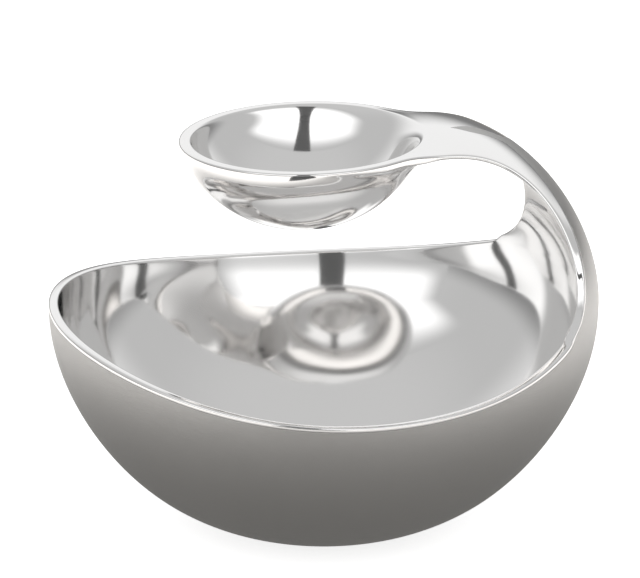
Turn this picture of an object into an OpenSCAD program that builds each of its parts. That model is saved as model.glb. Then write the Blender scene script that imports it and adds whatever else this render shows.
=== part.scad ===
// Chip and dip server of cast aluminium alloy.
// A round chip bowl stands on a flat base. Its right wall climbs past the rim, narrows into an arm
// and curls over the opening, where it carries a small dip bowl. The castings meet in two butt
// welds that are ground flush. +Z is up, +X points to the arm side, and the server is symmetric
// about the XZ plane. The origin is the middle of the base on the table.

/* [Display] */
// Part to draw, or "all" for the whole server

/* [Chip bowl] */
// Outer radius of the widest circle
bowl_r = 152.8; // [110:0.1:200]
// Height of the widest circle above the table
belly_h = 125.3; // [90:0.1:165]
// Wall thickness at the rim
wall_t = 5.6; // [4:0.1:9]
// Metal thickness in the middle of the floor
floor_t = 6; // [4:0.1:12]
// Depth of the full belly curve over its height down to the flat base
belly_ratio = 1.0476; // [1.02:0.0001:1.12]
// Shape terms of the belly curve: second and fourth power of the depth
belly_shape = [-0.061, 0.185]; // [-0.3:0.001:0.3]

/* [Rim line] */
// Half distance from the bowl's axis at which the rim line reaches the belly height on the arm side
root_x = 119.9; // [80:0.1:150]
// Rise of the left tip of the rim above the widest circle
tip_rise = 3; // [0:0.1:20]
// Control heights of the rim line from the left tip to the arm, measured from the widest circle
rim_sag = [-8.2, -29.6, -14.5, -26.5]; // [-60:0.1:10]

/* [Arm] */
// Control radii of the arm's outer line, from the root weld to the neck
spine_r = [52.6, 206.7, 6.7, 94.7]; // [5:0.1:260]
// Control half widths of the satin band, after the root
band_w = [55.6, 42.4, -81.7]; // [-100:0.1:100]
// Control half widths of the arm at its lower edge, after the root
edge_w = [55.3, 40.3, 43.7]; // [20:0.1:100]
// Control drops of the lower edge below the outer line, after the root
edge_drop = [3.5, 4.7, 3]; // [1:0.1:40]
// Control radii of the band across the arm, past the root where it is as round as the bowl
crown_r = [250, 300]; // [120:1:400]
// Control thicknesses in the middle of the arm, after the root
arm_t = [4.5, 14, 11]; // [4:0.1:20]
// Thickness of the arm's lower edge once it is clear of the chip bowl
edge_t = 2.2; // [1.5:0.1:5]
// Upward slope of the dip bowl towards the arm, in degrees
dip_tilt = 1.2; // [0:0.1:5]

/* [Dip bowl] */
// Radius of the opening
dip_r = 63.5; // [45:0.1:80]
// Width of the flat rim around the opening
dip_rim = 6.7; // [4:0.1:12]
// Outer depth below the rim
dip_h = 49.8; // [35:0.1:70]
// Roundness of the sides: 0.5 makes them elliptic, and more makes them slimmer
dip_round = 0.6; // [0.4:0.01:0.9]
// Thickness of the dip bowl's floor
dip_floor_t = 5; // [3:0.1:9]
// Depth of the flared mouth inside the opening
mouth_h = 14; // [4:0.1:25]
// How far the flared mouth narrows over its depth
mouth_w = 11.5; // [4:0.1:20]
// Distance from the dip bowl's outer rim to the neck weld
neck_gap = 2.5; // [1:0.1:30]
// Softness of the fillet between the dip bowl's underside and the neck
neck_fillet = 16; // [4:0.5:30]

/* [Welds] */
// Width of each butt weld
weld_w = 3; // [1.5:0.1:6]

/* [Hidden] */

satin_grey = [0.66, 0.66, 0.65];
mirror_grey = [0.82, 0.82, 0.83];
weld_grey = [0.74, 0.74, 0.75];

round_fn = 160;     // facets of a full circle in the preview
profile_steps = 26; // steps down a bowl profile
rim_steps = 34;     // steps along the rim line
spine_steps = 30;   // stations along the arm
band_steps = 6;     // half of the band across the arm
lip_steps = 4;      // polished lip beside the band
under_steps = 8;    // half of the arm's underside
neck_steps = 7;     // outline steps from the weld to the round rim
round_steps = 20;   // outline steps around half of the round rim
weld_steps = 7;     // outline steps across half of the weld face
ray_steps = 13;     // steps from the middle of the dip bowl to its outline

belly_c = belly_h * belly_ratio;
inner_r = bowl_r - wall_t;
inner_c = belly_h - floor_t;
root_y = sqrt(bowl_r * bowl_r - root_x * root_x);
clear_m = 20;   // how far cutting bodies run past what they cut
lip_round = 0.6; // small step that keeps the lip from ending in a knife edge
band_min = 6;   // least half width of the band, where it has run out
dip_out_r = dip_r + dip_rim;
neck_reach = dip_out_r + neck_gap; // from the axis of the dip bowl to the neck weld

function bern3(c, t) =
    c[0] * pow(1 - t, 3) + 3 * c[1] * t * pow(1 - t, 2) + 3 * c[2] * t * t * (1 - t) + c[3] * pow(t, 3);
function smooth_step(t) = let (u = min(1, max(0, t))) u * u * (3 - 2 * u);
function soft_max(a, b, k) = max(a, b) + pow(max(0, k - abs(a - b)), 2) / (4 * k);

// Height of an arc above its middle, at the distance y, when it rises by sag at half_w.
function arc_sag(y, half_w, sag) =
    abs(sag) < 0.01 ? sag * pow(y / half_w, 2)
    : let (r = (half_w * half_w + sag * sag) / (2 * abs(sag)))
      sign(sag) * (r - sqrt(max(0, r * r - y * y)));

// ---- chip bowl ----
function belly_r(r, d) =
    r * sqrt(max(0, 1 - d * d)) * (1 + belly_shape[0] * d * d + belly_shape[1] * pow(d, 4));
upper_c = belly_c / sqrt(1 - 2 * belly_shape[0]);
function upper_r(r, h) = r * sqrt(1 - pow(h / upper_c, 2));
wall_top = max(tip_rise, 0) + wall_t;

function rim_z(x) =
    let (t = (x + bowl_r) / (bowl_r + root_x), u = 1 - t)
    belly_h + tip_rise * pow(u, 5) + 5 * rim_sag[0] * t * pow(u, 4) + 10 * rim_sag[1] * t * t * pow(u, 3)
    + 10 * rim_sag[2] * pow(t, 3) * u * u + 5 * rim_sag[3] * pow(t, 4) * u;

module bowl_wall() {
    base_d = belly_h / belly_c;
    outer = [for (i = [0 : profile_steps])
        let (d = base_d * cos(90 * i / profile_steps)) [belly_r(bowl_r, d), belly_h - belly_c * d]];
    inner = [for (i = [profile_steps : -1 : 1])
        let (d = cos(90 * i / profile_steps)) [belly_r(inner_r, d), belly_h - inner_c * d]];
    rotate_extrude($fn = round_fn)
        polygon(concat(
            [[0, 0]], outer,
            [[upper_r(bowl_r, wall_top), belly_h + wall_top]],
            [[upper_r(inner_r, wall_top), belly_h + wall_top]],
            inner, [[0, floor_t]]));
}

module above_rim() {
    line = [for (i = [0 : rim_steps]) let (x = -bowl_r + (bowl_r + root_x) * i / rim_steps) [x, rim_z(x)]];
    translate([0, bowl_r + clear_m, 0])
        rotate([90, 0, 0])
            linear_extrude(2 * (bowl_r + clear_m))
                polygon(concat(
                    [[-bowl_r - clear_m, belly_h + tip_rise]], line,
                    [[bowl_r + clear_m, belly_h], [bowl_r + clear_m, belly_h + wall_top + clear_m],
                     [-bowl_r - clear_m, belly_h + wall_top + clear_m]]));
}

module chip_bowl() {
    color(satin_grey)
        difference() {
            bowl_wall();
            above_rim();
        }
}

// ---- arm ----
sweep = 90 + dip_tilt;
fine = 8; // sub-steps used to add up the outer line between two stations
full_edge = 0.5; // share of the arm by which its lower edge has its full thickness
crease_fade = [0.25, 0.65]; // shares of the arm between which the lip beside the band bends smooth

// Share of the arm that the neck weld takes, and the stations: two close ones at the neck weld.
neck_share = weld_w / (spine_r[3] * sweep * PI / 180);
station_t = concat([for (i = [0 : spine_steps]) (1 - neck_share) * i / spine_steps], [1]);
last = len(station_t) - 1;

// One stretch of the outer line, from the share a to the share b.
function spine_leg(a, b) =
    [for (k = [1 : fine]) 1] * [for (k = [0 : fine - 1])
        let (t = a + (b - a) * (k + 0.5) / fine, l = bern3(spine_r, t) * sweep * (b - a) / fine * PI / 180)
        [-l * sin(sweep * t), l * cos(sweep * t)]];
function spine_to(i) = i == 0 ? [[bowl_r, belly_h + weld_w]]
    : let (before = spine_to(i - 1))
      concat(before, [before[i - 1] + spine_leg(station_t[i - 1], station_t[i])]);
spine = spine_to(last);

// Half section at t as [distance from the middle, depth below the outer line], from the middle of
// the outside around the edge to the middle of the underside.
function half_section(t) =
    let (
        s = smooth_step(t / full_edge),
        y1 = soft_max(bern3(concat([root_y], band_w), t), band_min, band_min),
        rc = bern3(concat([bowl_r, bowl_r], crown_r), t),
        y2 = bern3(concat([root_y * inner_r / bowl_r], edge_w), t),
        n2 = bern3(concat([bowl_r - root_x * inner_r / bowl_r], edge_drop), t),
        n1 = rc - sqrt(rc * rc - y1 * y1),
        slope = y1 / sqrt(rc * rc - y1 * y1),
        sharp = 1 - smooth_step((t - crease_fade[0]) / (crease_fade[1] - crease_fade[0])),
        yc = (y1 + y2) / 2,
        nc = sharp * (n1 + n2) / 2 + (1 - sharp) * (n1 + slope * (yc - y1)),
        y3 = y2 - lip_round * (1 - s),
        n3 = n2 - lip_round * (1 - s) + edge_t * s,
        tc = bern3(concat([wall_t], arm_t), t)
    )
    concat(
        [for (i = [0 : band_steps]) let (y = y1 * i / band_steps) [y, arc_sag(y, y1, n1)]],
        [for (i = [1 : lip_steps]) let (u = i / lip_steps)
            [y1, n1] * pow(1 - u, 2) + [yc, nc] * 2 * u * (1 - u) + [y2, n2] * u * u],
        [for (i = [under_steps : -1 : 0])
            let (y = y3 * i / under_steps) [y, tc + arc_sag(y, y3, n3 - tc)]]);

function station(i) =
    let (t = station_t[i], b = sweep * t, half = half_section(t), n = len(half), c = spine[i])
    [for (k = [0 : 2 * n - 3])
        let (p = k < n ? half[k] : [-half[2 * n - 2 - k][0], half[2 * n - 2 - k][1]])
        [c[0] - p[1] * cos(b), p[0], c[1] - p[1] * sin(b)]];

// The arm's stretch from one station to another, closed by a flat face at each end.
module arm_stretch(from, to) {
    rings = [for (i = [from : to]) station(i)];
    n = len(rings[0]);
    m = to - from;
    points = [for (r = rings) for (p = r) p];
    polyhedron(points, concat(
        [[for (k = [0 : n - 1]) k]],
        [[for (k = [n - 1 : -1 : 0]) m * n + k]],
        [for (i = [0 : m - 1]) for (k = [0 : n - 1])
            [i * n + k, (i + 1) * n + k, i * n + (k + 1) % n]],
        [for (i = [0 : m - 1]) for (k = [0 : n - 1])
            [(i + 1) * n + k, (i + 1) * n + (k + 1) % n, i * n + (k + 1) % n]]));
}

module at_neck() {
    translate([spine[last][0], 0, spine[last][1]])
        rotate([0, -dip_tilt, 0])
            children();
}

// The root weld joins the flat top of the bowl's right wall to the arm's flat lower end.
module arm_root_weld() {
    root_angle = acos(root_x / bowl_r);
    color(weld_grey)
        rotate([0, 0, -root_angle])
            rotate_extrude(angle = 2 * root_angle, $fn = round_fn)
                translate([inner_r, belly_h])
                    square([wall_t, weld_w]);
}

module arm() {
    color(satin_grey)
        arm_stretch(0, last - 1);
}

module dip_neck_weld() {
    color(weld_grey)
        arm_stretch(last - 1, last);
}

// ---- dip bowl, in its own frame: middle of the opening at the origin, neck towards +X ----
fillet_at = 0.605; // where the neck's outline leaves the round rim, as a share of its radius
fillet_x = fillet_at * dip_out_r;
fillet_y = sqrt(dip_out_r * dip_out_r - fillet_x * fillet_x);
neck_w = edge_w[2];
neck_n = edge_drop[2];
shell_lean = 0.043; // how far the underside leans away from the neck, as a share of the radius
shell_x = -shell_lean * dip_out_r; // middle of the underside's curve
shell_rx = dip_out_r + shell_x;
fade_in = 8; // how far inside the round rim the underside's curve takes over from the neck

function neck_y(x) =
    let (l = neck_reach - fillet_x, t = (x - fillet_x) / l)
    fillet_y * (1 - 3 * t * t + 2 * pow(t, 3)) + neck_w * (3 * t * t - 2 * pow(t, 3))
    - l * fillet_x / fillet_y * t * pow(1 - t, 2);
function outline_y(x) = x > fillet_x ? neck_y(x) : sqrt(max(1, dip_out_r * dip_out_r - x * x)); // never 0
function top_drop(x, y) =
    neck_n * smooth_step((x - fillet_x) / (neck_reach - fillet_x)) * pow(y / outline_y(x), 2);
function shell_depth(x, y) =
    dip_h * pow(max(0, 1 - pow((x - shell_x) / shell_rx, 2) - pow(y / dip_out_r, 2)), dip_round);
function neck_depth(x, y) =
    let (
        thick_x = fillet_x / 3, // where the neck's middle begins to thicken
        s = smooth_step((x - thick_x) / (neck_reach - thick_x)),
        w = outline_y(x),
        edge = edge_t + neck_n * smooth_step((x - fillet_x) / (neck_reach - fillet_x)),
        mid = edge + (arm_t[2] - neck_n - edge_t) * s
    )
    mid + arc_sag(min(y, w), w, edge - mid);
function under_depth(x, y) =
    let (
        near = smooth_step((neck_reach - x) / (neck_reach - shell_x - shell_rx + fade_in)),
        neck_side = smooth_step((x - shell_x) / (fillet_x - shell_x))
    )
    soft_max(neck_depth(x, y), shell_depth(x, y) * near, neck_fillet * near * neck_side + 0.01);

half_outline = concat(
    [for (i = [0 : weld_steps]) [neck_reach, neck_w * i / weld_steps]],
    [for (i = [1 : neck_steps])
        let (x = neck_reach + (fillet_x - neck_reach) * i / neck_steps) [x, neck_y(x)]],
    [for (i = [1 : round_steps])
        let (a0 = atan2(fillet_y, fillet_x), a = a0 + (180 - a0) * i / round_steps)
        dip_out_r * [cos(a), sin(a)]]);
half_count = len(half_outline);
outline = concat(
    half_outline,
    [for (i = [half_count - 2 : -1 : 1]) [half_outline[i][0], -half_outline[i][1]]]);

module dip_skin() {
    n = len(outline);
    fractions = [for (j = [1 : ray_steps]) sin(90 * j / ray_steps)];
    flat = [for (f = fractions) for (p = outline) p * f];
    top = [for (p = flat) [p[0], p[1], -top_drop(p[0], abs(p[1]))]];
    under = [for (p = flat) [p[0], p[1], -under_depth(p[0], abs(p[1]))]];
    points = concat([[0, 0, 0], [0, 0, -under_depth(0, 0)]], top, under);
    m = ray_steps * n;
    polyhedron(points, concat(
        [for (k = [0 : n - 1]) [0, 2 + (k + 1) % n, 2 + k]],
        [for (k = [0 : n - 1]) [1, 2 + m + k, 2 + m + (k + 1) % n]],
        [for (j = [0 : ray_steps - 2]) for (k = [0 : n - 1]) each ring_pair(2 + j * n, n, k, false)],
        [for (j = [0 : ray_steps - 2]) for (k = [0 : n - 1]) each ring_pair(2 + m + j * n, n, k, true)],
        [for (k = [0 : n - 1])
            let (rim = 2 + (ray_steps - 1) * n, a = rim + k, b = rim + (k + 1) % n)
            each [[a, b, b + m], [a, b + m, a + m]]]));
}

// Two triangles between ring start and the next ring, turned over when flip is true.
function ring_pair(start, n, k, flip) =
    let (a = start + k, b = start + (k + 1) % n, c = a + n, d = b + n)
    flip ? [[a, c, b], [b, c, d]] : [[a, b, c], [b, d, c]];

// The hollow leans away from the neck like the outside does, and its mouth flares out to the
// full opening.
module dip_hollow() {
    depth = dip_h - dip_floor_t;
    lean = -shell_x;
    hollow_r = dip_r - lean;
    translate([-lean, 0, 0])
        rotate_extrude($fn = round_fn)
            polygon(concat(
                [[0, clear_m], [0, -depth]],
                [for (i = [1 : profile_steps])
                    let (d = cos(90 * i / profile_steps))
                    [hollow_r * sqrt(1 - pow(d, 1 / dip_round)), -depth * d]],
                [[hollow_r, clear_m]]));
    translate([0, 0, -mouth_h])
        cylinder(h = mouth_h, r1 = dip_r - mouth_w, r2 = dip_r, $fn = round_fn);
    cylinder(h = clear_m, r = dip_r, $fn = round_fn);
}

module dip_bowl() {
    color(mirror_grey)
        at_neck()
            translate([-neck_reach, 0, 0])
                difference() {
                    dip_skin();
                    dip_hollow();
                }
}

chip_bowl();
arm_root_weld();
arm();
dip_neck_weld();
dip_bowl();
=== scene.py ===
# Chip and dip server of cast aluminium: a chip bowl whose wall curls over as an arm and holds a dip bowl.
import math

import bmesh
import bpy
import numpy as np
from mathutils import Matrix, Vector


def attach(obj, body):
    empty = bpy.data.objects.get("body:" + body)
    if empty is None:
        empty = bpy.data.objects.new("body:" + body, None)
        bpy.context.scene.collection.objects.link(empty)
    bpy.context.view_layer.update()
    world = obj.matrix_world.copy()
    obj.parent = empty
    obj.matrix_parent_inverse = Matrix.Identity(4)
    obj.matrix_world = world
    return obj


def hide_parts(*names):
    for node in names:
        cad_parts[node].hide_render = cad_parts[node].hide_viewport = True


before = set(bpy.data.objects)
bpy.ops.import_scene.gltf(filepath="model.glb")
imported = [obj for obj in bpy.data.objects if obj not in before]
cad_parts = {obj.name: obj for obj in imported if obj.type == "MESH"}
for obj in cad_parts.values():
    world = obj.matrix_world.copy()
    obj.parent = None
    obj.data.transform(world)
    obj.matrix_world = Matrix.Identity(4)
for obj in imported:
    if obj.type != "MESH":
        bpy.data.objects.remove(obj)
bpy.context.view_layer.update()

mm = 0.001  # all sizes below are in millimetres, and the meshes are made in metres
seam, joint = 0.02 * mm, 0.03 * mm  # vertices nearer than this are joined


# camera first

cameraSetup = {
    "azimuth": 9.065,        # degrees round to the left of straight ahead
    "elevation": 18.78,
    "distance": 2.202,
    "target": (-0.002014, 0, 0.13224),
    "lens": 223.0875,        # a long lens, so the two bowls keep their proportions
    "sensor": 36,
    "clip": (0.05, 50),
}


def makeCamera():
    az, el = math.radians(cameraSetup["azimuth"]), math.radians(cameraSetup["elevation"])
    ahead = Vector((math.sin(az) * math.cos(el), math.cos(az) * math.cos(el), -math.sin(el)))
    data = bpy.data.cameras.new("camera")
    data.sensor_fit = "HORIZONTAL"
    data.sensor_width = cameraSetup["sensor"]
    data.lens = cameraSetup["lens"]
    data.clip_start, data.clip_end = cameraSetup["clip"]
    camera = bpy.data.objects.new("camera", data)
    bpy.context.collection.objects.link(camera)
    camera.location = Vector(cameraSetup["target"]) - ahead * cameraSetup["distance"]
    camera.rotation_mode = "QUATERNION"
    camera.rotation_quaternion = ahead.to_track_quat("-Z", "Y")
    bpy.context.scene.camera = camera


makeCamera()
print("camera placed")


# node helpers: sums on sockets, and one method for every other node

class Wire:
    # a socket that can stand in a sum

    def __init__(self, graph, socket):
        self.graph, self.socket = graph, socket

    def at(self, name):  # another output of the same node
        return Wire(self.graph, self.socket.node.outputs[name])

    def __add__(self, other):
        return self.graph.math("ADD", self, other)

    def __radd__(self, other):
        return self.graph.math("ADD", other, self)

    def __sub__(self, other):
        return self.graph.math("SUBTRACT", self, other)

    def __rsub__(self, other):
        return self.graph.math("SUBTRACT", other, self)

    def __mul__(self, other):
        return self.graph.math("MULTIPLY", self, other)

    def __rmul__(self, other):
        return self.graph.math("MULTIPLY", other, self)

    def __truediv__(self, other):
        return self.graph.math("DIVIDE", self, other)

    def __gt__(self, other):
        return self.graph.math("GREATER_THAN", self, other)

    def __lt__(self, other):
        return self.graph.math("LESS_THAN", self, other)


class Graph:
    def __init__(self, tree):
        self.tree = tree
        tree.nodes.clear()

    def node(self, kind, settings=None, sockets=None, out=0):
        made = self.tree.nodes.new(kind)
        for name, value in (settings or {}).items():
            if name == "choices":  # the list of an Index Switch
                while len(made.index_switch_items) < len(value):
                    made.index_switch_items.new()
                for i, item in enumerate(value):
                    made.inputs[i + 1].default_value = item
            else:
                setattr(made, name, value)
        for name, value in (sockets or {}).items():
            if isinstance(value, Wire):
                self.tree.links.new(value.socket, made.inputs[name])
            else:
                made.inputs[name].default_value = value
        return Wire(self, made.outputs[out]) if made.outputs else made

    def math(self, operation, *values):
        return self.node("ShaderNodeMath", {"operation": operation}, dict(enumerate(values)))


# the shapes that the pieces share

chipBowl = {
    "radius": 152.8, "bellyHeight": 125.3, "wall": 5.6, "floor": 6.0,
    "bellyRatio": 1.0476, "bellyShape": (-0.061, 0.185),
    "rootX": 119.9, "tipRise": 3.0, "rimSag": (-8.2, -29.6, -14.5, -26.5),
    # the rounded lip: how far across the wall, and how high over the rim line
    "lipAcross": (0, 0.28, 1.3, 1.9, 2.5, 3.1, 3.7, 4.3, 5.32, 5.55, 5.6),
    "lipHeight": (-1.5, -0.35, 0, 0.05, 0.08, 0.08, 0.05, 0, -0.35, -0.9, -1.7),
    "polishBelow": 1.5,     # how far under the rim the polish starts
    "polishInside": 6,      # the mark of the whole inside
    "footRows": 4, "wallRows": 24, "armColumns": 16, "rimColumns": 84,
}
arm = {
    "spine": (52.6, 206.7, 6.7, 94.7), "sweep": 91.2,
    "band": (55.6, 42.4, -81.7), "edge": (55.3, 40.3, 43.7), "edgeDrop": (3.5, 4.7, 3.0),
    "crown": (250, 300), "thickness": (4.5, 14, 11), "edgeThickness": 2.2,
    "leastBand": (6, 6),                 # least half width of the satin band, and how softly it is reached
    "ridge": 6.0, "ridgeEnd": 0.84,      # the satin runs on along the arm's ridge, this far to each side
    "ridgeFade": 1.4,                    # over 1, so the strip closes before the neck
    "edgeRound": 0.15, "edgeInset": 0.5, "underInset": 1.5,  # how the thin lower edge is rounded
    "crease": 1.3, "rows": 34, "weld": 3.0, "lipLines": 4, "start": 0.03, "fineSteps": 600,
    # shares of the arm's length by which, or over which, its section changes
    "offBowlBy": 0.16, "unwrappedBy": 0.3, "thickBy": 0.5,
    "lipSoftens": (0.25, 0.65), "evenLines": (0.35, 0.75),
}
dipBowl = {
    "radius": 63.5, "rim": 6.7, "depth": 49.8, "roundness": 0.6, "floor": 5.0, "tilt": 1.2,
    "neckGap": 2.5, "filletAt": 0.605, "fillet": 16, "lean": 0.043, "mouth": 4.0, "fadeIn": 8,
    "rimEdge": (0.3, 1.6),                  # lines round the outer edge of the rim, under its top
    "bevel": (1.1, 0.25),                   # lines beside the opening's edge
    "flats": (0.36, 0.72),                  # lines across the rim's flat top
    "hollowStart": 0.02, "hollowSpread": 1.15,
    "hollowRows": 15, "underRows": 15, "neckSteps": 5, "rimSteps": 44,
}

bellyDepth = chipBowl["bellyHeight"] * chipBowl["bellyRatio"]
innerRadius = chipBowl["radius"] - chipBowl["wall"]
innerDepth = chipBowl["bellyHeight"] - chipBowl["floor"]
rootAngle = math.acos(chipBowl["rootX"] / chipBowl["radius"])
rootY = chipBowl["radius"] * math.sin(rootAngle)
footAngle = math.acos(chipBowl["bellyHeight"] / bellyDepth)
half = chipBowl["armColumns"] // 2
# each vertex is marked with how far past the edge of the polish it is, in mm
farPast, lipPast = 12, 2  # the farthest mark, and the least on the arm's lip near its root


def bern3(c, t):
    u = 1 - t
    return c[0] * u ** 3 + 3 * c[1] * t * u * u + 3 * c[2] * t * t * u + c[3] * t ** 3


def smooth(t):
    t = min(1.0, max(0.0, t))
    return t * t * (3 - 2 * t)


def eased(t, start, end):
    return smooth((t - start) / (end - start))


def mix(a, b, t):
    return a + (b - a) * t


def softMax(a, b, k):
    return max(a, b) + max(0, k - abs(a - b)) ** 2 / (4 * k)


def arcSag(y, halfWidth, sag):
    if abs(sag) < 0.01:
        return sag * (y / halfWidth) ** 2
    r = (halfWidth ** 2 + sag ** 2) / (2 * abs(sag))
    return math.copysign(r - math.sqrt(max(0, r * r - y * y)), sag)


# chip bowl, as a Geometry Nodes rule: a grid wrapped round outside, lip and inside

def chipBowlRule(material):
    tree = bpy.data.node_groups.new("chipBowlRule", "GeometryNodeTree")
    graph = Graph(tree)
    b = chipBowl
    lipRow = b["footRows"] + b["wallRows"]
    sizes = {
        "Radius": b["radius"], "Belly height": b["bellyHeight"], "Belly depth": bellyDepth,
        "Inner radius": innerRadius, "Inner depth": innerDepth,
        "Shape 2": b["bellyShape"][0], "Shape 4": b["bellyShape"][1],
        "Foot angle": footAngle, "Root angle": rootAngle, "Root X": b["rootX"], "Tip rise": b["tipRise"],
        "Sag 1": b["rimSag"][0], "Sag 2": b["rimSag"][1], "Sag 3": b["rimSag"][2], "Sag 4": b["rimSag"][3],
        "Half arm columns": half, "Columns": b["armColumns"] + b["rimColumns"],
        "Foot rows": b["footRows"], "Lip row": lipRow, "Lip rows": len(b["lipAcross"]) - 1,
        "Rows": lipRow + len(b["lipAcross"]) - 1 + b["wallRows"] + 1,
    }
    for name in sizes:
        tree.interface.new_socket(name=name, in_out="INPUT", socket_type="NodeSocketFloat")
    tree.interface.new_socket(name="Bowl", in_out="OUTPUT", socket_type="NodeSocketGeometry")
    given = graph.node("NodeGroupInput")
    g = {name: given.at(name) for name in sizes}

    place = graph.node("GeometryNodeInputPosition")
    part = graph.node("ShaderNodeSeparateXYZ", sockets={0: place})
    column = part.at("X") + g["Columns"] / 2
    row = part.at("Y") + g["Rows"] / 2
    armEnd = g["Half arm columns"] * 2
    inArm = (column > 0.5) * (column < armEnd - 0.5)

    turn = g["Root angle"] * (graph.math("MINIMUM", column, armEnd) / g["Half arm columns"] - 1)
    restTurn = 2 * math.pi - 2 * g["Root angle"]
    turn = turn + graph.math("MAXIMUM", column - armEnd, 0) * restTurn / (g["Columns"] - armEnd)
    cosTurn, sinTurn = graph.math("COSINE", turn), graph.math("SINE", turn)

    # the lip: which of its lines a row is, how far across the wall, and how high over the rim line
    lipEnd = g["Lip row"] + g["Lip rows"]
    line = graph.math("MINIMUM", graph.math("MAXIMUM", row - g["Lip row"], 0), g["Lip rows"])
    line = graph.node("FunctionNodeFloatToInt", {"rounding_mode": "ROUND"}, {0: line})
    across, under = (
        graph.node("GeometryNodeIndexSwitch", {"data_type": "FLOAT", "choices": b[key]}, {"Index": line})
        for key in ("lipAcross", "lipHeight"))

    # the rim line, over the distance from the left tip to the arm
    x = graph.math("MINIMUM", g["Radius"] * cosTurn, g["Root X"])
    t = (x + g["Radius"]) / (g["Radius"] + g["Root X"])
    u = 1 - t
    tt, uu = t * t, u * u
    rim = g["Belly height"] + g["Tip rise"] * uu * uu * u + 5 * g["Sag 1"] * t * uu * uu \
        + 10 * g["Sag 2"] * tt * uu * u + 10 * g["Sag 3"] * tt * t * uu + 5 * g["Sag 4"] * tt * tt * u
    top = rim + under * (1 - inArm)

    def clamped(value):
        return graph.node("ShaderNodeClamp", sockets={0: value})

    def wallPoint(radius, depth, angle):
        d = graph.math("COSINE", angle)
        dd = d * d
        r = radius * graph.math("SINE", angle) * (1 + g["Shape 2"] * dd + g["Shape 4"] * dd * dd)
        return r, g["Belly height"] - depth * d

    up = clamped((row - g["Foot rows"]) / (g["Lip row"] - g["Foot rows"]))
    rimAngle = graph.math("ARCCOSINE", (g["Belly height"] - top) / g["Belly depth"])
    outerAngle = g["Foot angle"] + (rimAngle - g["Foot angle"]) * up
    outerR, outerZ = wallPoint(g["Radius"], g["Belly depth"], outerAngle)
    down = clamped((row - lipEnd) / (g["Rows"] - lipEnd))
    innerRim = graph.math("ARCCOSINE", (g["Belly height"] - top) / g["Inner depth"])
    innerR, innerZ = wallPoint(g["Inner radius"], g["Inner depth"], innerRim * (1 - down))

    share = across / (g["Radius"] - g["Inner radius"])
    foot = 1 - clamped(row / g["Foot rows"])
    r = (outerR + (innerR - outerR) * share) * (1 - foot * foot)
    z = outerZ + (innerZ - outerZ) * share
    shaped = graph.node("ShaderNodeCombineXYZ", sockets={0: r * cosTurn * mm, 1: r * sinTurn * mm, 2: z * mm})

    grid = graph.node("GeometryNodeMeshGrid", sockets={
        "Size X": g["Columns"], "Size Y": g["Rows"],
        "Vertices X": g["Columns"] + 1, "Vertices Y": g["Rows"] + 1})
    armGap = (column < armEnd) * (row > g["Lip row"]) * (row < lipEnd)
    kept = graph.node("GeometryNodeDeleteGeometry", {"domain": "FACE", "mode": "ALL"},
                      {"Geometry": grid, "Selection": armGap})
    # distance past the edge of the polish, for the finish
    onLip = clamped(row - g["Lip row"])
    polish = (z - rim + b["polishBelow"]) * (1 - onLip) + onLip * b["polishInside"]
    marked = graph.node("GeometryNodeStoreNamedAttribute", {"data_type": "FLOAT", "domain": "POINT"},
                        {"Geometry": kept, "Name": "polish", "Value": polish})
    wrapped = graph.node("GeometryNodeSetPosition", sockets={"Geometry": marked, "Position": shaped})
    closed = graph.node("GeometryNodeMergeByDistance", sockets={"Geometry": wrapped, "Distance": seam})
    real = graph.node("GeometryNodeRealizeInstances", sockets={"Geometry": closed})
    finished = graph.node("GeometryNodeSetMaterial", sockets={"Geometry": real, "Material": material})
    graph.node("NodeGroupOutput", sockets={"Bowl": finished})

    host = bpy.data.objects.new("chipBowlHost", bpy.data.meshes.new("chipBowlHost"))
    bpy.context.collection.objects.link(host)
    rule = host.modifiers.new("rule", "NODES")
    rule.node_group = tree
    for item in tree.interface.items_tree:
        if item.in_out == "INPUT":
            rule[item.identifier] = float(sizes[item.name])
    host.update_tag()
    made = bpy.data.meshes.new_from_object(host.evaluated_get(bpy.context.evaluated_depsgraph_get()))
    host.modifiers.remove(rule)
    bpy.data.objects.remove(host)
    return made


# arm, section by section along its outer line

def armLine():
    sweep, fineSteps = math.radians(arm["sweep"]), arm["fineSteps"]
    x, z = [chipBowl["radius"]], [chipBowl["bellyHeight"] + arm["weld"]]
    for k in range(fineSteps):
        t = (k + 0.5) / fineSteps
        step = bern3(arm["spine"], t) * sweep / fineSteps
        x.append(x[-1] - step * math.sin(sweep * t))
        z.append(z[-1] + step * math.cos(sweep * t))
    return x, z


lineX, lineZ = armLine()


def onArm(t, y, n):  # a point n below the outer line, y to the side
    at = t * arm["fineSteps"]
    k = min(int(at), arm["fineSteps"] - 1)
    turn = math.radians(arm["sweep"]) * t
    return (mix(lineX[k], lineX[k + 1], at - k) - n * math.cos(turn), y,
            mix(lineZ[k], lineZ[k + 1], at - k) - n * math.sin(turn))


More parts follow.
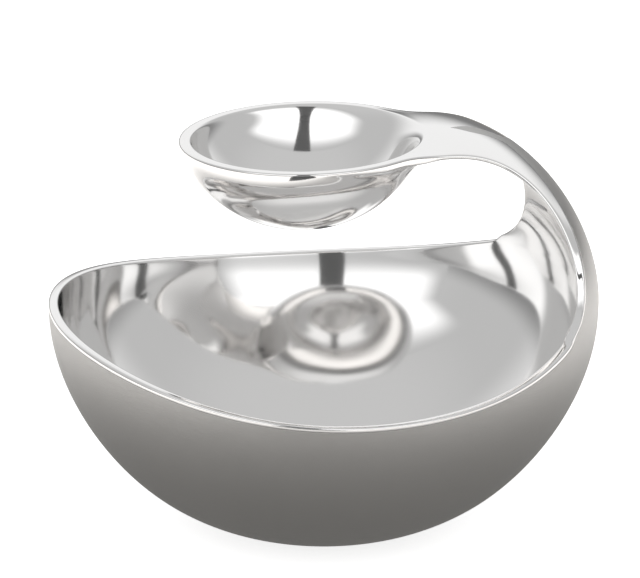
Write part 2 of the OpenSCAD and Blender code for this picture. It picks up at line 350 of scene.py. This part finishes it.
def armSection(t):
    # half a section: the lines from the middle of the outside round the edge to the middle of the underside
    radius, wall, lines = chipBowl["radius"], chipBowl["wall"], arm["lipLines"]
    full = smooth(t / arm["thickBy"])
    y1 = softMax(bern3((rootY,) + arm["band"], t), *arm["leastBand"])
    rc = bern3((radius, radius) + arm["crown"], t)
    y2 = bern3((rootY * innerRadius / radius,) + arm["edge"], t)
    n2 = bern3((radius - chipBowl["rootX"] * innerRadius / radius,) + arm["edgeDrop"], t)
    n1 = rc - math.sqrt(rc * rc - y1 * y1)
    slope = y1 / math.sqrt(rc * rc - y1 * y1)
    sharp = 1 - eased(t, *arm["lipSoftens"])
    yc = (y1 + y2) / 2
    nc = sharp * (n1 + n2) / 2 + (1 - sharp) * (n1 + slope * (yc - y1))
    thick = arm["edgeThickness"] * full
    n3 = n2 + thick
    tc = bern3((wall,) + arm["thickness"], t)
    crease = arm["crease"]

    def lip(u):
        return (y1 * (1 - u) ** 2 + yc * 2 * u * (1 - u) + y2 * u * u,
                n1 * (1 - u) ** 2 + nc * 2 * u * (1 - u) + n2 * u * u)

    def outside(y):
        return (y, arcSag(y, y1, n1)) if y <= y1 else lip((y - y1) / (y2 - y1))

    def underside(y):
        n = tc + arcSag(y, y2, n3 - tc)
        bowl = radius - math.sqrt(max(1, innerRadius ** 2 - y * y))
        return mix(bowl, n, smooth(t / arm["offBowlBy"]))

    width = math.hypot(y2 - y1, n2 - n1)
    between = [mix(crease, width - crease, (k + 1) / (lines + 1)) / width for k in range(lines)]
    us = [0, crease / width] + between + [1 - crease / width]
    # the lines follow the bowl's circle first and are evenly spread further up
    unwrapped = smooth(t / arm["unwrappedBy"])
    onCircle = [math.sin(rootAngle * i / half) / math.sin(rootAngle) for i in range(half + 1)]
    spread = [mix(share, i / half, unwrapped) for i, share in enumerate(onCircle)]
    top = [outside((y1 - crease) * g) for g in spread] + [lip(u) for u in us]
    even = eased(t, *arm["evenLines"])
    if even > 0:
        last = len(top) - 1
        top = [outside(mix(p[0], (y2 - crease) * i / last, even)) for i, p in enumerate(top)]
    rounding, inset = arm["edgeRound"] * thick, arm["edgeInset"]
    edge = [(y2, n2 + rounding), (mix(y2 - inset, y2, full), mix(underside(y2 - inset), n3 - rounding, full))]
    low = y2 - arm["underInset"]
    bottom = [(low * g, underside(low * g)) for g in reversed(spread)]
    return top + edge + bottom


def around(halfRing):  # the whole ring, from a half ring with both of its middle points
    return halfRing + [(x, -y, z) for x, y, z in reversed(halfRing[1:-1])]


def rootRing():  # the ring that the chip bowl leaves open
    radius, height = chipBowl["radius"], chipBowl["bellyHeight"]
    ring = []
    for i in range(half):
        turn = rootAngle * i / half
        ring.append((radius * math.cos(turn), radius * math.sin(turn), height))
    for across, under in zip(chipBowl["lipAcross"], chipBowl["lipHeight"]):
        d = -under / bellyDepth, -under / innerDepth
        k2, k4 = chipBowl["bellyShape"]
        outer = radius * math.sqrt(1 - d[0] ** 2) * (1 + k2 * d[0] ** 2 + k4 * d[0] ** 4)
        inner = innerRadius * math.sqrt(1 - d[1] ** 2) * (1 + k2 * d[1] ** 2 + k4 * d[1] ** 4)
        r = mix(outer, inner, across / chipBowl["wall"])
        ring.append((r * math.cos(rootAngle), r * math.sin(rootAngle), height + under))
    for i in range(half - 1, -1, -1):
        turn = rootAngle * i / half
        ring.append((innerRadius * math.cos(turn), innerRadius * math.sin(turn), height))
    return around(ring)


def armRings():
    # rings from the bowl's open ring to the neck, and on each vertex how far it is past the satin band
    end = 1 - arm["weld"] / (arm["spine"][3] * math.radians(arm["sweep"]))
    shares = [mix(arm["start"], end, k / arm["rows"]) for k in range(arm["rows"] + 1)] + [1.0]
    rings, polish = [rootRing()], []
    for t in shares:
        rings.append(around([onArm(t, y, n) for y, n in armSection(t)]))
    blend = 0.5  # the root weld's upper ring lies between its neighbours, so the edge bends evenly
    rings.insert(1, [tuple(mix(p, q, blend) for p, q in zip(a, b)) for a, b in zip(rings[0], rings[1])])
    for t in [0.0, 0.0] + shares:
        band = bern3((rootY,) + arm["band"], t) - arm["crease"]
        band = max(band, arm["ridge"] * (1 - arm["ridgeFade"] * eased(t, arm["ridgeEnd"], 1)))
        section = armSection(max(t, 0.001))
        early = t < arm["evenLines"][0]  # here the lip's lines lie on the polish, whatever the band does
        marks = [y - band for y, n in section[:half]] + [0.0 if early else section[half][0] - band]
        for y, n in section[half + 1:half + 4 + arm["lipLines"]]:
            marks.append(max(lipPast, y - band) if early else y - band)
        marks += [farPast] * (len(section) - len(marks))
        polish.append([max(-farPast, min(farPast, m)) for m in marks + marks[-2:0:-1]])
    return rings, polish, len(section)


# dip bowl, in its own frame: middle of the opening at the origin, neck towards +X

dipOuter = dipBowl["radius"] + dipBowl["rim"]
neckReach = dipOuter + dipBowl["neckGap"]
neckWidth, neckDrop = arm["edge"][2], arm["edgeDrop"][2]
filletX = dipBowl["filletAt"] * dipOuter
filletY = math.sqrt(dipOuter ** 2 - filletX ** 2)
shellX = -dipBowl["lean"] * dipOuter


def neckY(x):
    reach = neckReach - filletX
    t = (x - filletX) / reach
    return filletY * (1 - 3 * t * t + 2 * t ** 3) + neckWidth * (3 * t * t - 2 * t ** 3) \
        - reach * filletX / filletY * t * (1 - t) ** 2


def outlineY(x):
    return neckY(x) if x > filletX else math.sqrt(max(1, dipOuter ** 2 - x * x))


def topDrop(x, y):
    return neckDrop * eased(x, filletX, neckReach) * (y / outlineY(x)) ** 2


def underDepth(x, y):
    shellR = dipOuter + shellX
    inside = max(0, 1 - ((x - shellX) / shellR) ** 2 - (y / dipOuter) ** 2)
    shell = dipBowl["depth"] * inside ** dipBowl["roundness"]
    thickX = filletX / 3
    edge = arm["edgeThickness"] + neckDrop * eased(x, filletX, neckReach)
    middle = edge + (arm["thickness"][2] - neckDrop - arm["edgeThickness"]) * eased(x, thickX, neckReach)
    width = outlineY(x)
    neck = middle + arcSag(min(abs(y), width), width, edge - middle)
    near = smooth((neckReach - x) / (neckReach - shellX - shellR + dipBowl["fadeIn"]))
    return softMax(neck, shell * near, dipBowl["fillet"] * near * eased(x, shellX, filletX) + 0.01)


def hollowPoint(turn, q):  # q runs from the opening's edge, 0, to the bottom, 1
    depth = dipBowl["depth"] - dipBowl["floor"]
    below = depth * math.sin(math.pi / 2 * q)
    flare = math.exp(-below / dipBowl["mouth"])
    wide = math.sqrt(max(0, 1 - (below / depth) ** (1 / dipBowl["roundness"])))
    r = (dipBowl["radius"] + shellX) * wide - shellX * flare
    return (r * math.cos(turn) + shellX * (1 - flare), r * math.sin(turn), -below)


def fromDip(p):  # from the dip bowl's frame into the server's
    tilt = math.radians(dipBowl["tilt"])
    x, z = p[0] - neckReach, p[2]
    c, s = math.cos(tilt), math.sin(tilt)
    return (lineX[-1] + x * c - z * s, p[1], lineZ[-1] + x * s + z * c)


def toDip(p):
    tilt = math.radians(dipBowl["tilt"])
    x, z = p[0] - lineX[-1], p[2] - lineZ[-1]
    c, s = math.cos(tilt), math.sin(tilt)
    return (x * c + z * s + neckReach, p[1], -x * s + z * c)


def dipCage(neckRing, halfCount, addVert, addFace):
    topCount = halfCount - 2 - (half + 1)  # lines of the neck's top, from its middle to the edge
    ring = [toDip(p) for p in neckRing]
    n = len(ring)
    # columns over the top: the neck's lines from -y to +y, then the rest of the outline, round to the start
    neckTop = [ring[-k % n] for k in range(topCount - 1, -1, -1)] + ring[1:topCount]
    outline = []
    for i in range(1, dipBowl["neckSteps"] + 1):
        x = mix(neckReach, filletX, i / dipBowl["neckSteps"])
        outline.append((x, neckY(x)))
    start = math.atan2(filletY, filletX)
    for i in range(1, dipBowl["rimSteps"]):
        turn = mix(start, 2 * math.pi - start, i / dipBowl["rimSteps"])
        outline.append((dipOuter * math.cos(turn), dipOuter * math.sin(turn)))
    for i in range(dipBowl["neckSteps"], 0, -1):
        x = mix(neckReach, filletX, i / dipBowl["neckSteps"])
        outline.append((x, -neckY(x)))

    def inward(p, step):
        r = math.hypot(p[0], p[1])
        return p[0] * (1 - step / r), p[1] * (1 - step / r)

    rimTop = [inward(p, arm["crease"]) for p in outline]
    outerTop = neckTop + [(x, y, -topDrop(x, abs(y))) for x, y in rimTop]
    columns = []
    opening, rows = dipBowl["radius"], dipBowl["hollowRows"]
    bevel, bead = dipBowl["bevel"]
    for x, y, z in outerTop:
        turn = math.atan2(y, x)
        column = [(x, y, z)]
        edgeX, edgeY = (opening + bevel) * math.cos(turn), (opening + bevel) * math.sin(turn)
        for s in dipBowl["flats"]:
            px, py = mix(x, edgeX, s), mix(y, edgeY, s)
            column.append((px, py, -topDrop(px, abs(py))))
        column.append((edgeX, edgeY, 0))
        column.append(((opening + bead) * math.cos(turn), (opening + bead) * math.sin(turn), -bead))
        for j in range(rows):
            q = mix(dipBowl["hollowStart"], 1, (j / rows) ** dipBowl["hollowSpread"])
            column.append(hollowPoint(turn, q))
        columns.append(column)
    middle = addVert(fromDip((shellX, 0, dipBowl["floor"] - dipBowl["depth"])), farPast)
    top = [[addVert(fromDip(p), farPast) for p in column] for column in columns]
    count = len(top)
    for k in range(count):
        a, b = top[k], top[(k + 1) % count]
        for j in range(len(a) - 1):
            addFace((a[j], a[j + 1], b[j + 1], b[j]))
        addFace((a[-1], middle, b[-1]))

    # the underside: the neck's lines, then the rest of the outline
    underNeck = [ring[k] for k in range(n - topCount - 2, topCount + 1, -1)]
    steps = dipBowl["underRows"]
    under = []
    weights = []
    for p in underNeck:
        under.append([p])
        weights.append(0.0)
    for i, p in enumerate(outline):
        first = math.sin(math.pi / 2 * (1 - 1 / steps))
        under.append([(p[0] * first, p[1] * first, -underDepth(p[0] * first, abs(p[1]) * first))])
        toRim = min(i + 1, len(outline) - i) / (dipBowl["neckSteps"] + 1)
        weights.append(min(1.0, toRim))
    for column, weight, outer in zip(under, weights, underNeck + [(x, y, 0) for x, y in outline]):
        for j in range(2, steps):
            fraction = mix(math.sin(math.pi / 2 * (1 - (j - 1) / (steps - 1))),
                           math.sin(math.pi / 2 * (1 - j / steps)), weight)
            x, y = outer[0] * fraction, outer[1] * fraction
            column.append((x, y, -underDepth(x, abs(y))))
    bottom = addVert(fromDip((0, 0, -underDepth(0, 0))), farPast)
    low = [[addVert(fromDip(p), farPast) for p in column] for column in under]
    count = len(low)
    for k in range(count):
        a, b = low[k], low[(k + 1) % count]
        for j in range(len(a) - 1):
            addFace((a[j], b[j], b[j + 1], a[j + 1]))
        addFace((a[-1], b[-1], bottom))

    # the rim's side, from the top's outer line to the underside's
    corner = [ring[topCount], ring[topCount + 1]], [ring[n - topCount], ring[n - topCount - 1]]
    side = [[addVert(fromDip(p), farPast) for p in corner[0]]]
    for x, y in outline:
        drop = topDrop(x, abs(y))
        side.append([addVert(fromDip((x, y, -drop - step)), farPast) for step in dipBowl["rimEdge"]])
    side.append([addVert(fromDip(p), farPast) for p in corner[1]])
    firstTop, firstLow = len(neckTop) - 1, len(underNeck) - 1
    for k in range(len(side) - 1):
        a = [top[firstTop + k][0]] + side[k] + [low[firstLow + k][0]]
        b = [top[(firstTop + k + 1) % len(top)][0]] + side[k + 1] + [low[(firstLow + k + 1) % len(low)][0]]
        for j in range(3):
            addFace((a[j], b[j], b[j + 1], a[j + 1]))


# one skin over the whole server, smoothed, then parted where the castings are welded

pieces = ["chipBowl", "rootWeld", "curledArm", "neckWeld", "dipBowl"]
skinLevels = 2


def buildSkin():
    cage = bmesh.new()
    cage.from_mesh(chipBowlRule(bpy.data.materials.new("spare")))
    polish = cage.verts.layers.float["polish"]
    for face in cage.faces:
        face.material_index = 0

    def addVert(p, past):
        vert = cage.verts.new((p[0] * mm, p[1] * mm, p[2] * mm))
        vert[polish] = past
        return vert

    def addFace(verts, part=pieces.index("dipBowl")):
        cage.faces.new(verts).material_index = part

    rings, marks, halfCount = armRings()
    made = [[addVert(p, m) for p, m in zip(ring, mark)] for ring, mark in zip(rings, marks)]
    n = len(rings[0])
    for i in range(len(made) - 1):
        part = pieces.index("rootWeld" if i == 0 else "neckWeld" if i == len(made) - 2 else "curledArm")
        for k in range(n):
            addFace((made[i][k], made[i][(k + 1) % n], made[i + 1][(k + 1) % n], made[i + 1][k]), part)
    dipCage(rings[-1], halfCount, addVert, addFace)
    bmesh.ops.remove_doubles(cage, verts=cage.verts[:], dist=joint)
    bmesh.ops.recalc_face_normals(cage, faces=cage.faces[:])
    for vert in cage.verts:  # a joined vertex may have kept the mark of the other finish
        nearby = [e.other_vert(vert)[polish] for e in vert.link_edges]
        if vert[polish] > 0 and max(nearby) < 0:
            vert[polish] = sum(nearby) / len(nearby)
    openEdges = sum(1 for e in cage.edges if len(e.link_faces) != 2)
    print("cage:", len(cage.faces), "faces,", openEdges, "open edges")
    skin = bpy.data.meshes.new("skin")
    cage.to_mesh(skin)
    cage.free()
    host = bpy.data.objects.new("skin", skin)
    bpy.context.collection.objects.link(host)
    rounding = host.modifiers.new("rounding", "SUBSURF")
    rounding.levels = rounding.render_levels = skinLevels
    rounding.use_limit_surface = True
    smoothSkin = bpy.data.meshes.new_from_object(host.evaluated_get(bpy.context.evaluated_depsgraph_get()))
    host.modifiers.remove(rounding)
    bpy.data.objects.remove(host)
    return smoothSkin


def closeEnds(shell):
    # a flat cap, turned outwards, on every open end
    waiting = dict.fromkeys(e for e in shell.edges if e.is_boundary)
    while waiting:
        ring, growing = [], [waiting.popitem()[0]]
        while growing:
            edge = growing.pop()
            ring.append(edge)
            for v in edge.verts:
                for e in v.link_edges:
                    if e in waiting:
                        del waiting[e]
                        growing.append(e)
        made = bmesh.ops.triangle_fill(shell, use_beauty=True, edges=ring)["geom"]
        wall, cap = ring[0].link_loops
        if wall.vert == cap.vert:
            for face in made:
                if isinstance(face, bmesh.types.BMFace):
                    face.normal_flip()


def partSkin(skin):
    # each piece keeps the whole skin's normals, so the ground welds don't show
    count = len(skin.vertices)
    place = np.empty(count * 3, np.float32)
    skin.vertices.foreach_get("co", place)
    place = place.reshape(-1, 3)
    normal = np.array([v.vector for v in skin.vertex_normals], np.float32)
    polish = np.empty(count, np.float32)
    skin.attributes["polish"].data.foreach_get("value", polish)
    groups = [[] for name in pieces]
    for face in skin.polygons:
        groups[face.material_index].append(tuple(face.vertices))
    objects = []
    for name, faces in zip(pieces, groups):
        used = sorted({v for face in faces for v in face})
        renumber = {v: i for i, v in enumerate(used)}
        shell = bmesh.new()
        for v in used:
            shell.verts.new(place[v])
        shell.verts.ensure_lookup_table()
        for face in faces:
            shell.faces.new([shell.verts[renumber[v]] for v in face])
        skinFaces = len(shell.faces)
        closeEnds(shell)
        mesh = bpy.data.meshes.new(name)
        shell.to_mesh(mesh)
        shell.free()
        mesh.polygons.foreach_set("use_smooth", [True] * len(mesh.polygons))
        mark = mesh.attributes.new("polish", "FLOAT", "POINT")
        mark.data.foreach_set("value", polish[used])
        loops = [None] * len(mesh.loops)
        for face in mesh.polygons:
            for loop in face.loop_indices:
                vert = mesh.loops[loop].vertex_index
                loops[loop] = normal[used[vert]] if face.index < skinFaces else face.normal
        mesh.normals_split_custom_set([tuple(v) for v in loops])
        piece = bpy.data.objects.new(name, mesh)
        bpy.context.collection.objects.link(piece)
        objects.append(piece)
        print(name + ":", len(mesh.polygons), "faces")
    return objects


# finishes

finish = {
    "satinColour": (0.50, 0.495, 0.485), "satinRoughness": 0.36,
    "satinTone": 0.03, "cloudScale": 9.0, "cloudRoughness": 0.06,   # slow drift of its tone and gloss
    "grain": 0.012, "grainScale": 180.0, "grainLength": 9.0, "grainRoughness": 0.12,  # fine brushing
    "polishColour": (0.88, 0.875, 0.87), "polishRoughness": 0.075,
    "waviness": 0.06, "waveScale": 14.0,        # slow waves left by the hand polish
    "veil": 0.04, "veilScale": 60.0,            # faint scratches on it
    "edgeWidth": 0.5,                           # how wide the border between the two finishes is, in mm
    "reliefDepth": 0.01,
}


def newMaterial(name):
    material = bpy.data.materials.new(name)
    material.use_nodes = True
    return material, Graph(material.node_tree)


def handPolish(graph, where):
    # roughness and relief of the polish
    waves = graph.node("ShaderNodeTexNoise", sockets={
        "Vector": where, "Scale": finish["waveScale"], "Detail": 1.0})
    veil = graph.node("ShaderNodeTexNoise", sockets={
        "Vector": where, "Scale": finish["veilScale"], "Detail": 4.0, "Roughness": 0.6})
    return finish["polishRoughness"] + (veil - 0.5) * finish["veil"], waves


def metalOf(graph, colour, roughness, bump):
    metal = graph.node("ShaderNodeBsdfPrincipled", sockets={
        "Base Color": colour, "Metallic": 1.0, "Roughness": roughness, "Normal": bump})
    graph.node("ShaderNodeOutputMaterial", sockets={"Surface": metal})


def polishedAlloy():
    material, graph = newMaterial("polishedAlloy")
    roughness, waves = handPolish(graph, graph.node("ShaderNodeTexCoord").at("Object"))
    bump = graph.node("ShaderNodeBump", sockets={
        "Height": waves, "Strength": finish["waviness"], "Distance": finish["reliefDepth"]})
    metalOf(graph, finish["polishColour"] + (1,), roughness, bump)
    return material


def castAlloy():
    # satin outside and polish past its edge, on one casting
    material, graph = newMaterial("satinAndPolish")
    where = graph.node("ShaderNodeTexCoord").at("Object")
    past = graph.node("ShaderNodeAttribute", {"attribute_name": "polish"}).at("Fac")
    bright = graph.node("ShaderNodeClamp", sockets={0: past / finish["edgeWidth"] + 0.5})
    polishRoughness, waves = handPolish(graph, where)
    brushed = graph.node("ShaderNodeMapping", sockets={
        "Vector": where, "Scale": (1.0, 1.0, finish["grainLength"])})
    grain = graph.node("ShaderNodeTexNoise", sockets={
        "Vector": brushed, "Scale": finish["grainScale"], "Detail": 3.0, "Roughness": 0.7})
    cloud = graph.node("ShaderNodeTexNoise", sockets={
        "Vector": where, "Scale": finish["cloudScale"], "Detail": 3.0})
    satinRoughness = finish["satinRoughness"] + (grain - 0.5) * finish["grainRoughness"] \
        + (cloud - 0.5) * finish["cloudRoughness"]
    roughness = satinRoughness + (polishRoughness - satinRoughness) * bright
    darker, lighter = (tuple(c * k for c in finish["satinColour"]) + (1,)
                       for k in (1 - finish["satinTone"], 1 + finish["satinTone"]))
    tone = graph.node("ShaderNodeMix", {"data_type": "RGBA"}, {0: cloud, 6: darker, 7: lighter}, out=2)
    colour = graph.node("ShaderNodeMix", {"data_type": "RGBA"}, {
        0: bright, 6: tone, 7: finish["polishColour"] + (1,)}, out=2)
    height = grain * finish["grain"] * (1 - bright) + waves * bright * finish["waviness"]
    bump = graph.node("ShaderNodeBump", sockets={
        "Height": height, "Strength": 1.0, "Distance": finish["reliefDepth"]})
    metalOf(graph, colour, roughness, bump)
    return material


chipBowlSkin, rootWeldSkin, armSkin, neckWeldSkin, dipBowlSkin = partSkin(buildSkin())
cast, polished = castAlloy(), polishedAlloy()
for piece, node, slot, material in (
        (chipBowlSkin, "chip_bowl", "satin_alloy", cast), (rootWeldSkin, "arm_root_weld", "weld_alloy", cast),
        (armSkin, "arm", "satin_alloy", cast), (neckWeldSkin, "dip_neck_weld", "weld_alloy", polished),
        (dipBowlSkin, "dip_bowl", "polished_alloy", polished)):
    piece.data.materials.append(material)
    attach(piece, "root")
    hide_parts(node)
print("pieces finished")


# floor, table and light of the studio

studio = {
    "floorSize": 30.0, "floorColour": (0.95, 0.95, 0.95), "floorGlow": 0.75,
    "tableSize": 6.0, "shadedTableColour": (0.68, 0.67, 0.66),       # only the metal sees it
    # painted shade: the dark tone that the metal sees on the table under the piece and far off
    "paintedShadeColour": (0.20, 0.196, 0.19), "paintedShadeFade": (0.08, 0.52), "farFade": (0.7, 1.7),
    "backGlow": 0.97, "frontGlow": 0.64, "sideGlow": 0.56, "skyGlow": 0.62,
    "turnFade": (0.3, 0.9), "skyFade": (0.5, 0.95),    # from side to front or back, and from low to high
    "horizonGlow": 0.22, "horizon": (0.03, 0.26),      # a darker band low down behind and beside the piece
    "screenGlow": 0.80, "screenEven": 0.70, "screenFade": (0.45, 0.5),
    "screenWidth": 3.4, "screenReach": (2.6, 0.8), "screenHeight": 2.2, "screenFoot": 0.55,
    "gapTurn": -4.0, "gapWidth": 0.56, "gapGlow": 0.08, "gapColour": (0.03, 0.03, 0.03),
    "gapShade": (0.36, 0.42, 2.4),       # half width, start and length of the painted shade strip on the table
    "gapShadeTaper": 0.25,               # its near end is this much as wide
}


def ramped(graph, value, low, high):
    return graph.node("ShaderNodeMapRange", {"interpolation_type": "SMOOTHSTEP"}, {
        "Value": value, "From Min": low, "From Max": high})


def paintOf(graph, colour, glow=0.0):
    paint = graph.node("ShaderNodeBsdfPrincipled", sockets={
        "Base Color": colour, "Roughness": 0.9, "Specular IOR Level": 0.0,
        "Emission Color": (1, 1, 1, 1), "Emission Strength": glow})
    graph.node("ShaderNodeOutputMaterial", sockets={"Surface": paint})


def shadedTableMaterial():
    # painted shade under the piece, paler further out, the same painted dark tone again far off
    material, graph = newMaterial("shadedTableTop")
    where = graph.node("ShaderNodeTexCoord").at("Object")
    away = graph.node("ShaderNodeVectorMath", {"operation": "LENGTH"}, {0: where}, out="Value")
    paintedShade, top = studio["paintedShadeColour"] + (1,), studio["shadedTableColour"] + (1,)
    pale = ramped(graph, away, *studio["paintedShadeFade"])
    far = ramped(graph, away, *studio["farFade"])
    tone = graph.node("ShaderNodeMix", {"data_type": "RGBA"}, {0: pale, 6: paintedShade, 7: top}, out=2)
    paintOf(graph, graph.node("ShaderNodeMix", {"data_type": "RGBA"}, {0: far, 6: tone, 7: paintedShade}, out=2))
    return material


def plainMaterial(name, colour, glow=0.0):
    material, graph = newMaterial(name)
    where = graph.node("ShaderNodeTexCoord").at("Object")
    fleck = graph.node("ShaderNodeTexNoise", sockets={"Vector": where, "Scale": 3.0, "Detail": 2.0})
    darker = tuple(c * 0.99 for c in colour) + (1,)
    paintOf(graph, graph.node("ShaderNodeMix", {"data_type": "RGBA"}, {
        0: fleck, 6: darker, 7: colour + (1,)}, out=2), glow)
    return material


def screenMaterial(name, fadedEnd):
    # brightest beside the gap, fading out at the outer side and at one end
    material, graph = newMaterial(name)
    place = graph.node("ShaderNodeSeparateXYZ", sockets={
        0: graph.node("ShaderNodeUVMap", {"uv_map": "across"})})
    sideFade, endFade = studio["screenFade"]
    side = ramped(graph, place.at("X"), 0.0, sideFade)
    end = ramped(graph, place.at("Y"), fadedEnd, endFade)
    bright = studio["screenGlow"]
    glow = side * end * bright + bright * studio["screenEven"]
    light = graph.node("ShaderNodeEmission", sockets={"Color": (1, 1, 1, 1), "Strength": glow})
    graph.node("ShaderNodeOutputMaterial", sockets={"Surface": light})
    return material


def makeSheet(name, corners, material, seenByCamera, seenInMetal):
    mesh = bpy.data.meshes.new(name)
    mesh.from_pydata(corners, [], [(0, 1, 2, 3)])
    sheet = bpy.data.objects.new(name, mesh)
    bpy.context.collection.objects.link(sheet)
    mesh.materials.append(material)
    corner = mesh.uv_layers.new(name="across").data
    for i, place in enumerate(((0, 0), (1, 0), (1, 1), (0, 1))):
        corner[i].uv = place
    sheet.visible_camera = seenByCamera
    sheet.visible_glossy = seenInMetal
    sheet.visible_shadow = False


def square(size, z):
    far = size / 2
    return [(-far, -far, z), (far, -far, z), (far, far, z), (-far, far, z)]


def aside(turn, distance, across, z):
    # a place on the camera's side: turned from the camera's azimuth, so far away and so far across
    a = math.radians(turn - cameraSetup["azimuth"])
    return (math.sin(a) * distance + math.cos(a) * across, -math.cos(a) * distance + math.sin(a) * across, z)


def makeFloor():
    makeSheet("floor", square(studio["floorSize"], 0.0), plainMaterial(
        "paleFloor", studio["floorColour"], studio["floorGlow"]), True, False)
    # a table that only the metal sees, painted darker than the floor, with painted shade under the piece
    makeSheet("table", square(studio["tableSize"], -1 * mm), shadedTableMaterial(), False, True)


def makeScreens():
    # two light screens rise at the camera and run overhead, with a dark gap between them
    far, back = studio["screenReach"]
    top, foot, turn = studio["screenHeight"], studio["screenFoot"], studio["gapTurn"]
    dark = plainMaterial("darkGap", studio["gapColour"], studio["gapGlow"])
    upright, overhead = screenMaterial("uprightScreen", 0.0), screenMaterial("overheadScreen", 1.0)
    near = studio["gapWidth"] / 2
    wide = near + studio["screenWidth"]
    bands = {"gap": (-near, near, dark, dark), "leftScreen": (-wide, -near, upright, overhead),
             "rightScreen": (wide, near, upright, overhead)}
    for name, (start, end, standing, lying) in bands.items():
        makeSheet(name + "Upright", [
            aside(turn, far, start, foot), aside(turn, far, end, foot),
            aside(turn, far, end, top), aside(turn, far, start, top)], standing, False, True)
        makeSheet(name + "Overhead", [
            aside(turn, far, start, top), aside(turn, far, end, top),
            aside(turn, back, end, top), aside(turn, back, start, top)], lying, False, True)
    # painted shade: a dark strip on the table under the gap, seen only in the metal
    side, start, length = studio["gapShade"]
    tip = side * studio["gapShadeTaper"]
    makeSheet("gapShadeOnTable", [
        aside(turn, start + length, -side, mm), aside(turn, start + length, side, mm),
        aside(turn, start, tip, mm), aside(turn, start, -tip, mm)], dark, False, True)


def makeWorld():
    world = bpy.data.worlds.new("studio")
    bpy.context.scene.world = world
    world.use_nodes = True
    graph = Graph(world.node_tree)
    way = graph.node("ShaderNodeTexCoord").at("Generated")
    towards = graph.node("ShaderNodeVectorMath", {"operation": "DOT_PRODUCT"}, {
        0: way, 1: aside(0.0, 1.0, 0.0, 0.0)}, out="Value")
    up = graph.node("ShaderNodeSeparateXYZ", sockets={0: way}).at("Z")

    side, back, front, sky = (studio[key] for key in ("sideGlow", "backGlow", "frontGlow", "skyGlow"))
    ahead = ramped(graph, towards, *studio["turnFade"])
    behind = ramped(graph, 0 - towards, *studio["turnFade"])
    glow = side + behind * (back - side) + ahead * (front - side)
    low = (1 - ramped(graph, up, *studio["horizon"])) * (1 - ahead)
    glow = glow * (1 - low) + low * studio["horizonGlow"]
    high = ramped(graph, up, *studio["skyFade"])
    glow = glow * (1 - high) + high * sky
    seen = graph.node("ShaderNodeLightPath").at("Is Camera Ray")  # the camera itself sees plain white
    strength = glow + (1 - glow) * seen
    light = graph.node("ShaderNodeBackground", sockets={"Color": (1, 1, 1, 1), "Strength": strength})
    graph.node("ShaderNodeOutputWorld", sockets={"Surface": light})


makeFloor()
makeScreens()
makeWorld()
bpy.context.scene.view_settings.view_transform = "Standard"
bpy.context.scene.cycles.glossy_bounces = 8  # the hollows reflect themselves many times
print("studio ready")
